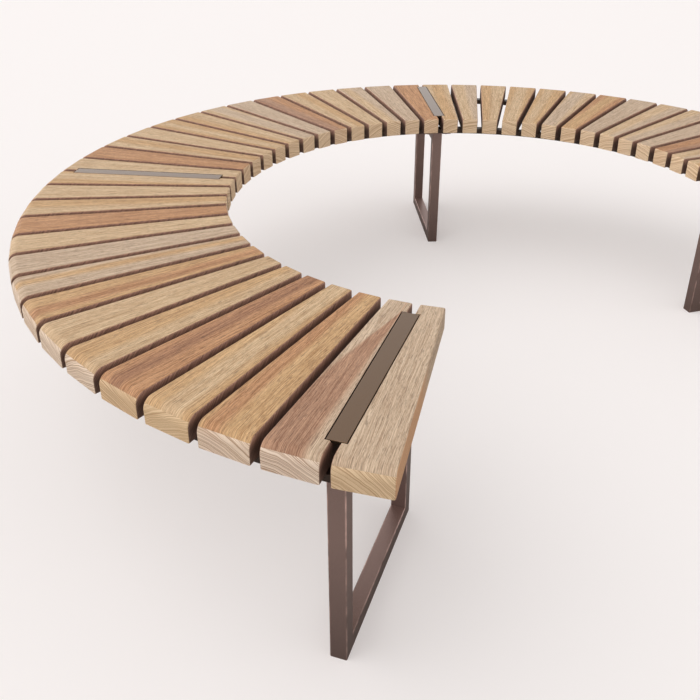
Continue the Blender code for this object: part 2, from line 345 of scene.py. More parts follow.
def rolled_over(tree, board, slats):
    """Board coordinates in which the face runs on over the rounded outer edge, and where the face ends.

    The second socket is one on the upper part of the rounding, which still shows the face.
    """
    centre = (0, slats.inner_radius + slats.length - slats.rounding, SEAT_TOP - slats.rounding)
    corner = add_node(tree, "ShaderNodeVectorMath", {0: board, 1: centre}, operation="SUBTRACT")
    split = add_node(tree, "ShaderNodeSeparateXYZ", {"Vector": corner})
    out, up = split.outputs["Y"], split.outputs["Z"]
    past = add_node(tree, "ShaderNodeMath", {0: out, 1: 0}, operation="GREATER_THAN")
    upper = add_node(tree, "ShaderNodeMath", {0: up, 1: slats.rounding * 0.6}, operation="GREATER_THAN")
    still_face = add_node(tree, "ShaderNodeMath", {0: past, 1: upper}, operation="MULTIPLY")
    angle = add_node(tree, "ShaderNodeMath", {0: out, 1: up}, operation="ARCTAN2")
    arc = add_node(tree, "ShaderNodeMath", {0: angle, 1: slats.rounding}, operation="MULTIPLY")
    flat = add_node(tree, "ShaderNodeVectorMath", {0: corner, 1: (0, 1, 1)}, operation="MULTIPLY")
    radius = add_node(tree, "ShaderNodeVectorMath", {0: flat}, operation="LENGTH")
    rolled = add_node(tree, "ShaderNodeCombineXYZ", {"X": split.outputs["X"], "Y": arc, "Z": radius})
    chosen = add_node(tree, "ShaderNodeMix", {
        "Factor": still_face, "A": corner, "B": rolled}, data_type="VECTOR")
    return add_node(tree, "ShaderNodeVectorMath", {0: chosen, 1: centre}), still_face


def hardwood(name, index, colours, slats):
    """Oiled open-pored hardwood, planed on its face and sawn on its ends and long sides.

    The eye sees fine lines and dark pores along the board, a core of another tone, slanting
    growth rings on the sawn end, paler partly by painted light, and sides with saw marks that
    carry painted shade where they face a gap.
    """
    chance = random.Random(index + 1)
    angle = slat_angle(index)
    edge, core = BOARDS[index].split("/")
    material, tree, shader = new_material(name)
    place = Matrix.Rotation(angle, 4, "Z") @ Matrix.Translation(-RING_CENTRE)
    coords = add_node(tree, "ShaderNodeTexCoord").outputs["Object"]
    board = add_node(tree, "ShaderNodeMapping", {
        "Vector": coords, "Location": place.translation, "Rotation": (0, 0, angle)})
    face, still_face = rolled_over(tree, board, slats)

    # The log's pith lies far below and beside the board, so that the rings slant through it
    slant = radians(RING_SLANTS.get(index, chance.uniform(12, 34) * chance.choice((1, 1, -1))))
    pith = Vector((-sin(slant), 0, cos(slant))) * chance.uniform(0.16, 0.34)
    tilt = (radians(chance.uniform(-0.8, 0.8)), 0, radians(chance.uniform(-1.2, 1.2)))
    log = add_node(tree, "ShaderNodeMapping", {
        "Vector": face, "Location": pith + Vector((0, index * 1.7 + 1, -SLAT_UNDERSIDE)), "Rotation": tilt})
    # Its wander bends the rings by a few millimetres over the length of a board
    wander = streaks(tree, log, 55, 340).outputs["Color"]
    centred = add_node(tree, "ShaderNodeVectorMath", {0: wander, 1: (0.5, 0.5, 0.5)}, operation="SUBTRACT")
    shift = add_node(tree, "ShaderNodeVectorMath", {
        0: centred, 1: (14 * MM, 0, 14 * MM)}, operation="MULTIPLY")
    grain = add_node(tree, "ShaderNodeVectorMath", {0: log, 1: shift})

    # Growth rings of uneven width, 1.5 to 4 mm, counted outwards from the pith
    in_section = add_node(tree, "ShaderNodeVectorMath", {0: grain, 1: (1, 0, 1)}, operation="MULTIPLY")
    from_pith = add_node(tree, "ShaderNodeVectorMath", {0: in_section}, operation="LENGTH").outputs["Value"]
    ring_count = add_node(tree, "ShaderNodeMath", {
        0: from_pith, 1: 1 / (chance.uniform(1.4, 2.0) * MM), 2: index * 37}, operation="MULTIPLY_ADD")
    rings = add_node(tree, "ShaderNodeTexNoise", {
        "W": ring_count, "Scale": 1, "Detail": 2, "Roughness": 0.65}, noise_dimensions="1D").outputs["Fac"]
    # Figure in soft bands 14 mm wide, strands 3 mm and fibres 1 mm wide, and flecks: the
    # last three coarser than real ones so that they show
    fibres = streaks(tree, grain, 1, 90)
    flecks = streaks(tree, grain, 1, 8)
    shares = ((rings, 0.6), (streaks(tree, grain, 14, 500), 0.5), (streaks(tree, grain, 3, 400, 3), 1.1),
              (fibres, 2.3), (flecks, 1.4))
    growth = 0.5 - sum(share for _, share in shares) / 2
    for pattern, share in shares:
        growth = add_node(tree, "ShaderNodeMath", {
            0: pattern, 1: share, 2: growth}, operation="MULTIPLY_ADD")

    # A core of another tone wanders along the board, or runs out to a point at one side
    place_on_board = add_node(tree, "ShaderNodeSeparateXYZ", {"Vector": board})
    across = add_node(tree, "ShaderNodeSeparateXYZ", {"Vector": grain}).outputs["X"]
    core_place = pith.x + CORE_PLACES.get(index, chance.uniform(-12, 12)) * MM
    core_half = CORE_HALVES.get(index, chance.uniform(14, 24)) * MM
    from_core = add_node(tree, "ShaderNodeMath", {0: across, 1: core_place}, operation="SUBTRACT")
    if index in POINTED_CORES:
        point, full = POINTED_CORES[index]
        width = add_node(tree, "ShaderNodeMapRange", {
            "Value": place_on_board.outputs["Y"], "From Min": point, "From Max": full, "To Min": 0.02})
        aside = add_node(tree, "ShaderNodeMath", {
            0: width, 1: -core_half, 2: core_half}, operation="MULTIPLY_ADD")
        from_core = add_node(tree, "ShaderNodeMath", {0: from_core, 1: aside})
        from_core = add_node(tree, "ShaderNodeMath", {0: from_core, 1: width}, operation="DIVIDE")
    distance = add_node(tree, "ShaderNodeMath", {0: from_core}, operation="ABSOLUTE")
    core_share = add_node(tree, "ShaderNodeMapRange", {
        "Value": distance, "From Min": core_half + 10 * MM, "From Max": core_half - 10 * MM},
        interpolation_type="SMOOTHSTEP")

    # Open pores 1.1 mm wide and 22 mm long, wider than real ones so that they show
    pores = add_node(tree, "ShaderNodeMapRange", {
        "Value": streaks(tree, grain, 1.1, 22, 1), "From Min": 0.57, "From Max": 0.66},
        interpolation_type="SMOOTHSTEP")
    pore_share = add_node(tree, "ShaderNodeMath", {0: pores, 1: 0.56}, operation="MULTIPLY")
    pore = [level * 0.45 for level in getattr(colours, core + "_dark")]

    # Sawn ends: paler, partly for the end grain and partly as painted light on the ends, with the rings
    # drawn out in thin dark lines
    normal = add_node(tree, "ShaderNodeNewGeometry").outputs["Normal"]
    lengthwise = add_node(tree, "ShaderNodeVectorMath", {
        0: normal, 1: Vector((sin(angle), cos(angle), 0))}, operation="DOT_PRODUCT").outputs["Value"]
    endwise = add_node(tree, "ShaderNodeMath", {0: lengthwise}, operation="ABSOLUTE")
    on_end = add_node(tree, "ShaderNodeMapRange", {
        "Value": endwise, "From Min": 0.5, "From Max": 0.7}, interpolation_type="SMOOTHSTEP")
    sawn = add_node(tree, "ShaderNodeMath", {
        0: on_end, 1: still_face}, operation="SUBTRACT", use_clamp=True)
    end_share = add_node(tree, "ShaderNodeMath", {0: sawn, 1: 0.82}, operation="MULTIPLY")
    # Good and poor years of the tree come in runs of rings, and make broader bands
    runs = add_node(tree, "ShaderNodeTexNoise", {
        "W": ring_count, "Scale": 0.35, "Detail": 1}, noise_dimensions="1D").outputs["Fac"]
    banded = add_node(tree, "ShaderNodeMath", {0: runs, 1: 0.4, 2: -0.2}, operation="MULTIPLY_ADD")
    late = add_node(tree, "ShaderNodeMath", {0: banded, 1: rings})
    late = add_node(tree, "ShaderNodeMapRange", {
        "Value": late, "From Min": 0.34, "From Max": 0.72}, interpolation_type="SMOOTHSTEP")
    end_tone = END_TONES.get(index, "end" if index < WARM_ENDS_FROM else "warm_end")

    # Long sides: free ones are orange-brown towards the outer end. Those that face a gap carry
    # painted shade, lighter towards the top, with saw marks 1.6 mm wide that lean with the blade
    sideways = add_node(tree, "ShaderNodeVectorMath", {
        0: normal, 1: Vector((cos(angle), -sin(angle), 0))}, operation="DOT_PRODUCT").outputs["Value"]
    either = add_node(tree, "ShaderNodeMath", {0: sideways}, operation="ABSOLUTE")
    on_side = add_node(tree, "ShaderNodeMapRange", {
        "Value": either, "From Min": 0.45, "From Max": 0.9, "To Max": 0.9},
        interpolation_type="SMOOTHSTEP")
    outwards = add_node(tree, "ShaderNodeMapRange", {
        "Value": place_on_board.outputs["Y"], "From Min": TAN_FROM, "From Max": TAN_TO},
        interpolation_type="SMOOTHSTEP")
    tanned = add_node(tree, "ShaderNodeMath", {0: on_side, 1: outwards}, operation="MULTIPLY")
    leaning = add_node(tree, "ShaderNodeMapping", {"Vector": board, "Rotation": (radians(46), 0, 0)})
    marks = streaks(tree, leaning, 1.6, 30, 1)
    depth = add_node(tree, "ShaderNodeMapRange", {
        "Value": place_on_board.outputs["Z"], "From Min": SEAT_TOP - SHADE_DEPTH, "From Max": SEAT_TOP},
        interpolation_type="SMOOTHSTEP")
    # The rebates lie further from the gap's middle line than the long sides, and get the deep painted shade
    # all over
    off_middle = add_node(tree, "ShaderNodeMath", {0: place_on_board.outputs["X"]}, operation="ABSOLUTE")
    to_line = add_node(tree, "ShaderNodeMath", {
        0: place_on_board.outputs["Y"], 1: tan(SLAT_PITCH / 2)}, operation="MULTIPLY")
    from_line = add_node(tree, "ShaderNodeMath", {0: to_line, 1: off_middle}, operation="SUBTRACT")
    near_line = add_node(tree, "ShaderNodeMath", {0: from_line, 1: REBATE_FROM_LINE}, operation="LESS_THAN")
    shallow = add_node(tree, "ShaderNodeMath", {0: depth, 1: near_line}, operation="MULTIPLY")
    marked = add_node(tree, "ShaderNodeMapRange", {
        "Value": marks, "From Min": 0.3, "From Max": 0.7, "To Min": 0.5, "To Max": 1.5})
    free_side = {0: 1, SLAT_COUNT - 1: -1}.get(index)
    facing = either if free_side is None else add_node(tree, "ShaderNodeMath", {
        0: sideways, 1: free_side}, operation="MULTIPLY")
    # Painted shade covers the long sides that face a gap
    gap_shaded = add_node(tree, "ShaderNodeMapRange", {
        "Value": facing, "From Min": 0.45, "From Max": 0.9, "To Max": 0.94},
        interpolation_type="SMOOTHSTEP")

    # The tone of each part lies between two colours, and the later parts cover the earlier ones
    wood, core_wood, end_wood, side_wood, gap_shade_tone = (
        add_node(tree, "ShaderNodeMix", {
            "Factor": factor, "A": getattr(colours, first), "B": getattr(colours, second)}, data_type="RGBA")
        for factor, first, second in (
            (growth, edge + "_light", edge + "_dark"),
            (growth, core + "_light", core + "_dark"),
            (late, end_tone + "_light", end_tone + "_dark"),
            (late, "russet_light", "umber_light"),
            (shallow, "deep_gap_shade", "gap_shade")))
    gap_shade_tone = add_node(tree, "ShaderNodeVectorMath", {0: gap_shade_tone, "Scale": marked}, operation="SCALE")
    for share, cover in ((core_share, core_wood), (pore_share, pore), (end_share, end_wood),
                         (tanned, side_wood), (gap_shaded, gap_shade_tone)):
        wood = add_node(tree, "ShaderNodeMix", {"Factor": share, "A": wood, "B": cover}, data_type="RGBA")
    tree.links.new(wood.outputs["Result"], shader.inputs["Base Color"])

    # Relief: raised fibres, sunk pores, and the saw marks on the sides
    relief = add_node(tree, "ShaderNodeMath", {0: pores, 1: -0.8, 2: fibres}, operation="MULTIPLY_ADD")
    relief = add_node(tree, "ShaderNodeMix", {
        "Factor": gap_shaded, "A": relief, "B": marks}, data_type="FLOAT")
    bump = add_node(tree, "ShaderNodeBump", {"Height": relief, "Strength": 0.5, "Distance": 0.3 * MM})
    tree.links.new(bump.outputs["Normal"], shader.inputs["Normal"])
    gloss = add_node(tree, "ShaderNodeMapRange", {
        "Value": fibres, "From Min": 0.3, "From Max": 0.7, "To Min": 0.54, "To Max": 0.72})
    tree.links.new(gloss.outputs["Result"], shader.inputs["Roughness"])
    shader.inputs["IOR"].default_value = 1.48
    return material


def powder_coat(name, base, metallic, gloss, wear_and_highlight, painted_shade, film=0):
    """Bronze metallic powder coat baked on steel: fine orange peel, a satin gleam and tiny flakes.

    The coat is thinner and lighter on the arrises, where the mesh's arris attribute is one: scuffs
    together with a painted highlight. Painted shade darkens it towards the bottom, except on faces
    that turn up, which keep their full colour as painted light from above. The shade is given as the
    height where it is deepest, the height where it ends, and the share of the colour left there.
    A film of clear lacquer, one where it is whole, gleams at a glancing view.
    """
    material, tree, shader = new_material(name)
    coords = add_node(tree, "ShaderNodeTexCoord").outputs["Object"]
    # Flakes 0.9 mm wide, coarser than real ones so that they show
    flakes = add_node(tree, "ShaderNodeTexNoise", {
        "Vector": coords, "Scale": 1 / (0.9 * MM), "Detail": 2, "Roughness": 0.6})
    spread = add_node(tree, "ShaderNodeMapRange", {
        "Value": flakes, "From Min": 0.35, "From Max": 0.70}, interpolation_type="SMOOTHSTEP")
    tinted = add_node(tree, "ShaderNodeMix", {
        "Factor": spread, "A": [level * 0.88 for level in base], "B": [level * 1.14 for level in base]},
        data_type="RGBA")
    # Scuffs in the coat and a painted highlight make the arrises lighter
    arris = add_node(tree, "ShaderNodeAttribute", attribute_name="arris").outputs["Fac"]
    rub_and_highlight_patches = add_node(tree, "ShaderNodeTexNoise", {"Vector": coords, "Scale": 1 / (30 * MM), "Detail": 3})
    rubbed_and_highlit = add_node(tree, "ShaderNodeMapRange", {
        "Value": rub_and_highlight_patches, "From Min": 0.35, "From Max": 0.65, "To Max": wear_and_highlight})
    worn_and_highlit = add_node(tree, "ShaderNodeMath", {0: arris, 1: rubbed_and_highlit}, operation="MULTIPLY")
    coat = add_node(tree, "ShaderNodeMix", {
        "Factor": worn_and_highlit, "A": tinted, "B": [min(level * 2.4, 1) for level in base]}, data_type="RGBA")
    # Painted shade, darker towards the bottom; faces that turn up keep their full colour, as painted light
    # from above
    shade_deepest, shade_gone, left = painted_shade
    height = add_node(tree, "ShaderNodeSeparateXYZ", {"Vector": coords}).outputs["Z"]
    share = add_node(tree, "ShaderNodeMapRange", {
        "Value": height, "From Min": shade_deepest, "From Max": shade_gone, "To Min": left})
    normal = add_node(tree, "ShaderNodeNewGeometry").outputs["Normal"]
    upwards = add_node(tree, "ShaderNodeSeparateXYZ", {"Vector": normal}).outputs["Z"]
    share = add_node(tree, "ShaderNodeMath", {0: share, 1: upwards}, operation="MAXIMUM")
    coat = add_node(tree, "ShaderNodeVectorMath", {0: coat, "Scale": share}, operation="SCALE")
    tree.links.new(coat.outputs["Vector"], shader.inputs["Base Color"])
    # Cloudy change of film thickness over a few centimetres
    clouds = add_node(tree, "ShaderNodeTexNoise", {"Vector": coords, "Scale": 1 / (45 * MM), "Detail": 2})
    rough = add_node(tree, "ShaderNodeMapRange", {
        "Value": clouds, "To Min": 0.94 - gloss, "To Max": 1.06 - gloss})
    tree.links.new(rough.outputs["Result"], shader.inputs["Roughness"])
    # Orange peel with waves 1.6 mm long
    peel = add_node(tree, "ShaderNodeTexNoise", {"Vector": coords, "Scale": 1 / (1.6 * MM), "Detail": 1})
    bump = add_node(tree, "ShaderNodeBump", {"Height": peel, "Strength": 0.25, "Distance": 0.08 * MM})
    tree.links.new(bump.outputs["Normal"], shader.inputs["Normal"])
    shader.inputs["Metallic"].default_value = metallic
    shader.inputs["Coat Weight"].default_value = film
    shader.inputs["Coat Roughness"].default_value = 0.16
    shader.inputs["Specular IOR Level"].default_value = (1 - film) / 2
    return material


def stainless(base):
    """Cold-headed stainless steel of screws and bolts, slightly dulled by handling."""
    material, tree, shader = new_material("stainless_fastener")
    coords = add_node(tree, "ShaderNodeTexCoord").outputs["Object"]
    smears = add_node(tree, "ShaderNodeTexNoise", {"Vector": coords, "Scale": 1 / (2.5 * MM), "Detail": 2})
    rough = add_node(tree, "ShaderNodeMapRange", {"Value": smears, "To Min": 0.25, "To Max": 0.45})
    tree.links.new(rough.outputs["Result"], shader.inputs["Roughness"])
    shader.inputs["Base Color"].default_value = (*base, 1)
    shader.inputs["Metallic"].default_value = 1
    return material


def studio_floor(studio):
    """Smooth matt studio floor, lit a little from within so that its shadows are faint."""
    material, tree, shader = new_material("studio_floor")
    # Seen directly the floor is pale; the light that it throws on the bench is dimmer
    direct = add_node(tree, "ShaderNodeLightPath").outputs["Is Camera Ray"]
    lit = [level * (1 - studio.glow) for level in studio.floor]
    shown = add_node(tree, "ShaderNodeMix", {
        "Factor": direct, "A": studio.bounce, "B": lit}, data_type="RGBA")
    tree.links.new(shown.outputs["Result"], shader.inputs["Base Color"])
    own_light = add_node(tree, "ShaderNodeMath", {0: direct, 1: studio.glow}, operation="MULTIPLY")
    shader.inputs["Emission Color"].default_value = (*studio.floor, 1)
    tree.links.new(own_light.outputs["Value"], shader.inputs["Emission Strength"])
    shader.inputs["Roughness"].default_value = 0.9
    shader.inputs["Specular IOR Level"].default_value = 0.1
    return material


# Slats

ROOM_UNDER_STRIP = 0.3 * MM


def slat_half_width(radius, gap):
    """Half the width of a slat at a distance along its middle line."""
    return radius * tan(SLAT_PITCH / 2) - gap / 2 / cos(SLAT_PITCH / 2)


def slat_model(sizes):
    """A wedge-shaped slat along +Y, rounded over at its outer top edge and eased elsewhere."""
    near, far = sizes.inner_radius, sizes.inner_radius + sizes.length
    model = bmesh.new()
    add_block(model, Vector((-1, near, SLAT_UNDERSIDE)), Vector((1, far, SEAT_TOP)))
    for vert in model.verts:
        vert.co.x *= slat_half_width(vert.co.y, sizes.gap)
    middle = (near + far) / 2
    outer_top = edges_where(model, lambda at: abs(at.x) < MM and at.y > middle and at.z > SEAT_TOP - MM)
    bevel(model, outer_top, sizes.rounding, 12)
    inner_top = edges_where(model, lambda at: abs(at.x) < MM and at.y < near + MM and at.z > SEAT_TOP - MM)
    bevel(model, inner_top, sizes.inner_easing, 4)
    sides = [face for face in model.faces if abs(face.normal.x) > cos(SLAT_PITCH)]
    rim = {edge for side in sides for edge in side.edges}
    bevel(model, list(rim), sizes.arris, 3)
    return model


def inlay_span(sizes, slats):
    """Nearest and farthest distance of an inlay strip from the ring's centre."""
    far = slats.inner_radius + slats.length - sizes.inlay_inset
    return far - sizes.inlay_length, far


def cut_rebate(model, sizes, slats, side):
    """Cuts the seat of an inlay strip into one edge of a slat."""
    near, far = inlay_span(sizes, slats)
    room = sizes.inlay_clearance
    low = Vector((-sizes.inlay_width / 2 - room, near - room, rebate_floor(sizes)))
    high = Vector((sizes.inlay_width / 2 + room, far + room, SEAT_TOP + sizes.inlay_thickness))
    cutter = bmesh.new()
    add_block(cutter, low, high)
    cutter.transform(Matrix.Rotation(-side * SLAT_PITCH / 2, 4, "Z"))
    helpers = []
    for part in (model, cutter):
        mesh = bpy.data.meshes.new("rebate_helper")
        part.to_mesh(mesh)
        part.free()
        helper = bpy.data.objects.new("rebate_helper", mesh)
        bpy.context.scene.collection.objects.link(helper)
        helpers.append(helper)
    cut = helpers[0].modifiers.new("rebate", "BOOLEAN")
    cut.operation = "DIFFERENCE"
    cut.object = helpers[1]
    bpy.context.view_layer.update()
    evaluated = helpers[0].evaluated_get(bpy.context.evaluated_depsgraph_get())
    result = bmesh.new()
    result.from_mesh(evaluated.to_mesh())
    for helper in helpers:
        bpy.data.objects.remove(helper)
    face_outwards(result)
    return result


def rebate_floor(sizes):
    """Height of the rebate's floor, just under the strip."""
    return SEAT_TOP - sizes.inlay_thickness - ROOM_UNDER_STRIP


class BENCH_OT_add_slats(Operator):
    """Make the slats, those beside a leg frame with a rebate for its inlay bar"""
    bl_idname = "bench.add_slats"
    bl_label = "Slats"

    def execute(self, context):
        slats = context.scene.bench_slats
        metal = context.scene.bench_metal
        colours = context.scene.bench_colours
        for index in range(SLAT_COUNT):
            name = f"slat_{index + 1:02d}"
            model = slat_model(slats)
            if index + 1 in FRAME_GAPS:
                model = cut_rebate(model, metal, slats, 1)
            if index in FRAME_GAPS:
                model = cut_rebate(model, metal, slats, -1)
            wood = hardwood(f"oiled_hardwood_{index + 1:02d}", index, colours, slats)
            slot = next(part["material_slot"] for part in frame["record"]["subparts"]
                        if part["node"] == name)
            piece = add_piece(f"board_{index + 1:02d}", model, wood, slot, ring_matrix(slat_angle(index)))
            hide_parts(name)
        return {"FINISHED"}


# Inlay bars

STRIP_CORNER = 1.2 * MM
STRIP_RIM = 0.6 * MM
WEB_CORNER = 0.8 * MM
WELD_RADIUS = 2 * MM


def inlay_model(sizes, slats):
    """A strip with eased edges on a web, with a weld bead along each side of the web."""
    near, far = inlay_span(sizes, slats)
    model = bmesh.new()
    half = sizes.inlay_width / 2
    under = SEAT_TOP - sizes.inlay_thickness
    add_block(model, Vector((-half, near, under)), Vector((half, far, SEAT_TOP)))
    corners = edges_where(model, lambda at: under + MM < at.z < SEAT_TOP - MM)
    bevel(model, corners, STRIP_CORNER, 3)
    rim = edges_where(model, lambda at: at.z > SEAT_TOP - MM / 2)
    bevel(model, rim, STRIP_RIM, 2)
    web = bmesh.new()
    half_web = sizes.web_thickness / 2
    low = Vector((-half_web, near + sizes.web_setback, WEB_FOOT))
    high = Vector((half_web, far - sizes.web_setback, under))
    add_block(web, low, high)
    uprights = edges_where(web, lambda at: WEB_FOOT + MM < at.z < under - MM)
    bevel(web, uprights, WEB_CORNER, 2)
    join(model, web)
    for side in (-1, 1):
        for height, turn in ((under, 0), (WEB_FOOT, pi / 2)):
            start, end = (Vector((side * half_web, along, height)) for along in (low.y, high.y))
            add_weld(model, start, end, turn if side > 0 else turn + pi)
    return model


def add_weld(model, start, end, turn):
    """A slim rounded weld bead between two points that lie along +Y."""
    made = bmesh.ops.create_cone(model, cap_ends=True, cap_tris=False, segments=12,
                                 radius1=WELD_RADIUS, radius2=WELD_RADIUS, depth=(end - start).length)
    lie_down = Matrix.Rotation(pi / 2, 4, "X") @ Matrix.Rotation(turn, 4, "Z")
    bmesh.ops.transform(model, matrix=Matrix.Translation((start + end) / 2) @ lie_down, verts=made["verts"])


class BENCH_OT_add_inlay_bars(Operator):
    """Make the strips let in flush with the seat, each on its web"""
    bl_idname = "bench.add_inlay_bars"
    bl_label = "Inlay bars"

    def execute(self, context):
        # The strips' coat carries painted shade on its sides below the seat's top and a painted highlight on
        # its arrises
        coat = powder_coat("trodden_powder_coat", context.scene.bench_colours.dull_coat,
                           metallic=0.3, gloss=0.58, wear_and_highlight=0.55, painted_shade=STRIP_SHADE, film=1)
        for index, angle in enumerate(FRAME_ANGLES, start=1):
            model = inlay_model(context.scene.bench_metal, context.scene.bench_slats)
            piece = add_piece(f"flush_bar_{index}", model, coat, "frame_metal", ring_matrix(angle))
            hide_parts(f"inlay_bar_{index}")
        return {"FINISHED"}


def frame_finish(context):
    """The powder coat of the leg frames and their lugs, made on first use."""
    name = "bronze_powder_coat"
    # The leg frames' coat carries painted shade towards the ground and a painted highlight on its arrises
    return bpy.data.materials.get(name) or powder_coat(
        name, context.scene.bench_colours.coat, metallic=0.7, gloss=0.64, wear_and_highlight=1, painted_shade=GROUND_SHADE)


# Rails

def rail_model(radius, start, end, sizes, steps):
    """A tube of rectangular section with rounded corners, rolled to a radius between two angles."""
    model = bmesh.new()
    face = bmesh.ops.create_grid(model, x_segments=1, y_segments=1, size=1 / 2)
    bmesh.ops.scale(model, vec=(sizes.rail_width, RAIL_TOP - RAIL_UNDERSIDE, 1), verts=face["verts"])
    bmesh.ops.bevel(model, geom=model.verts[:], offset=sizes.rail_corner, offset_type="OFFSET", segments=3,
                    profile=0.5, affect="VERTICES", material=-1)
    upright = Matrix.Rotation(pi / 2, 4, "Z") @ Matrix.Rotation(pi / 2, 4, "X")
    at = Vector((0, radius, (RAIL_TOP + RAIL_UNDERSIDE) / 2))
    model.transform(Matrix.Rotation(-start, 4, "Z") @ Matrix.Translation(at) @ upright)
    bmesh.ops.spin(model, geom=model.faces[:], cent=(0, 0, 0), axis=(0, 0, 1), angle=start - end,
                   steps=steps)
    face_outwards(model)
    return model


class BENCH_OT_add_rails(Operator):
    """Make the curved rails that carry the slats, an inner and an outer one for each module"""
    bl_idname = "bench.add_rails"
    bl_label = "Rails"

    def execute(self, context):
        sizes = context.scene.bench_metal
        # The rails' coat is darkened as painted shade under the seat, with a painted highlight on its
        # arrises
        coat = powder_coat("shade_darkened_powder_coat", context.scene.bench_colours.shade_dark_coat,
                           metallic=0.7, gloss=0.64, wear_and_highlight=0.5, painted_shade=GROUND_SHADE)
        for label, radius in rail_radii(context):
            joint = sizes.rail_joint / 2 / radius
            overhang = END_SLATS * SLAT_PITCH - sizes.rail_setback / radius
            last = FRAME_COUNT - 2
            for index in range(FRAME_COUNT - 1):
                start = FRAME_ANGLES[index] + (joint if index else -overhang)
                end = FRAME_ANGLES[index + 1] + (overhang if index == last else -joint)
                model = rail_model(radius, start, end, sizes, SLATS_PER_MODULE * 6)
                piece = add_piece(
                    f"rolled_{label}_{index + 1}", model, coat, "frame_metal", ring_matrix(0))
                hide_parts(f"{label}_{index + 1}")
        return {"FINISHED"}


def rail_radii(context):
    """Name and middle radius of the inner and the outer rail."""
    sizes = context.scene.bench_metal
    reach = sizes.loop_width / 2 - sizes.rail_width / 2
    return (("inner_rail", LOOP_RADIUS - reach - sizes.inner_rail_overhang),
            ("outer_rail", LOOP_RADIUS + reach + sizes.outer_rail_overhang))


# Leg frames

def leg_model(sizes):
    """A closed upright loop of square tube with rounded corners, mitred and ground flush."""
    model = bmesh.new()
    made = bmesh.ops.create_grid(model, x_segments=1, y_segments=1, size=1 / 2)
    bmesh.ops.scale(model, vec=(sizes.loop_width, LOOP_TOP, 1), verts=made["verts"])
    hole = model.faces[:]
    bmesh.ops.inset_region(model, faces=hole, thickness=sizes.tube_depth, use_boundary=True,
                           use_even_offset=True)
    bmesh.ops.delete(model, geom=hole, context="FACES_ONLY")
    swept = bmesh.ops.extrude_face_region(model, geom=model.faces[:])["geom"]
    moved = [item for item in swept if isinstance(item, bmesh.types.BMVert)]
    bmesh.ops.translate(model, vec=(0, 0, sizes.tube_width), verts=moved)
    bmesh.ops.translate(model, vec=(0, 0, -sizes.tube_width / 2), verts=model.verts)
    face_outwards(model)
    arrises = [edge for edge in model.edges if edge.calc_face_angle(0) > radians(80)]
    long_arrises = [edge for edge in arrises if abs(edge.verts[0].co.z - edge.verts[1].co.z) < MM]
    bevel(model, long_arrises, sizes.tube_corner, 4)
    upright = Matrix.Rotation(pi / 2, 4, "Z") @ Matrix.Rotation(pi / 2, 4, "X")
    model.transform(Matrix.Translation((0, LOOP_RADIUS, LOOP_TOP / 2)) @ upright)
    return model


class BENCH_OT_add_leg_frames(Operator):
    """Make the leg frames, closed loops of square tube"""
    bl_idname = "bench.add_leg_frames"
    bl_label = "Leg frames"

    def execute(self, context):
        for index, angle in enumerate(FRAME_ANGLES, start=1):
            model = leg_model(context.scene.bench_metal)
            piece = add_piece(f"tube_loop_{index}", model, frame_finish(context), "frame_metal",
                              ring_matrix(angle))
            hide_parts(f"leg_frame_{index}")
        return {"FINISHED"}


# Screws, and the lugs and bolts that hold the rails to the leg frames

LUG_LENGTH = 0.028
LUG_WIDTH = 0.024
LUG_THICKNESS = 0.004
LUG_EDGE = 0.8 * MM
# Radius and height of the heads
SCREW_HEAD = (4.5 * MM, 2.6 * MM)
BOLT_HEAD = (5.5 * MM, 3.3 * MM)


def add_head(model, matrix, radius, height):
    """A domed head with a sunk round drive, facing down, with its seat at the matrix's origin."""
    head = bmesh.new()
    bmesh.ops.create_cone(head, cap_ends=True, cap_tris=False, segments=12, radius1=radius, radius2=radius,
                          depth=height, matrix=Matrix.Translation((0, 0, -height / 2)))
    bevel(head, edges_where(head, lambda at: at.z < -height * 0.99), height * 0.6, 2)
    end = min(head.faces, key=lambda face: face.calc_center_median().z)
    bmesh.ops.inset_region(head, faces=[end], thickness=height * 0.45, use_boundary=True)
    bmesh.ops.translate(head, vec=(0, 0, height * 0.6), verts=end.verts[:])
    head.transform(matrix)
    join(model, head)


class BENCH_OT_add_fasteners(Operator):
    """Make the screw heads under the rails, and the lugs and bolts beside the leg frames"""
    bl_idname = "bench.add_fasteners"
    bl_label = "Screws and bolts"

    def execute(self, context):
        sizes = context.scene.bench_metal
        steel = stainless(context.scene.bench_colours.fastener)
        for (label, radius), step in zip(rail_radii(context), (-1, 1)):
            screws = bmesh.new()
            for index in range(SLAT_COUNT):
                under = Matrix.Translation((0, radius, RAIL_UNDERSIDE))
                add_head(screws, ring_matrix(slat_angle(index)) @ under, *SCREW_HEAD)
            add_piece(f"{label}_screws", screws, steel, "frame_metal")
            bolts = bmesh.new()
            lugs = bmesh.new()
            middle = (radius + LOOP_RADIUS + (sizes.loop_width - sizes.tube_depth) / 2 * step) / 2
            for angle in FRAME_ANGLES:
                for side in (-1, 1):
                    reach = sizes.tube_width / 2 + LUG_LENGTH / 2
                    at = Vector((side * reach, middle, LOOP_TOP - LUG_THICKNESS))
                    add_head(bolts, ring_matrix(angle) @ Matrix.Translation(at), *BOLT_HEAD)
                    half = Vector((LUG_LENGTH / 2, LUG_WIDTH / 2, LUG_THICKNESS / 2))
                    up = at + Vector((0, 0, LUG_THICKNESS / 2))
                    verts = add_block(lugs, up - half, up + half)
                    bmesh.ops.transform(lugs, matrix=ring_matrix(angle), verts=verts)
            bevel(lugs, lugs.edges[:], LUG_EDGE, 2)
            add_piece(f"{label}_lugs", lugs, frame_finish(context), "frame_metal")
            add_piece(f"{label}_bolts", bolts, steel, "frame_metal")
        return {"FINISHED"}


# Studio

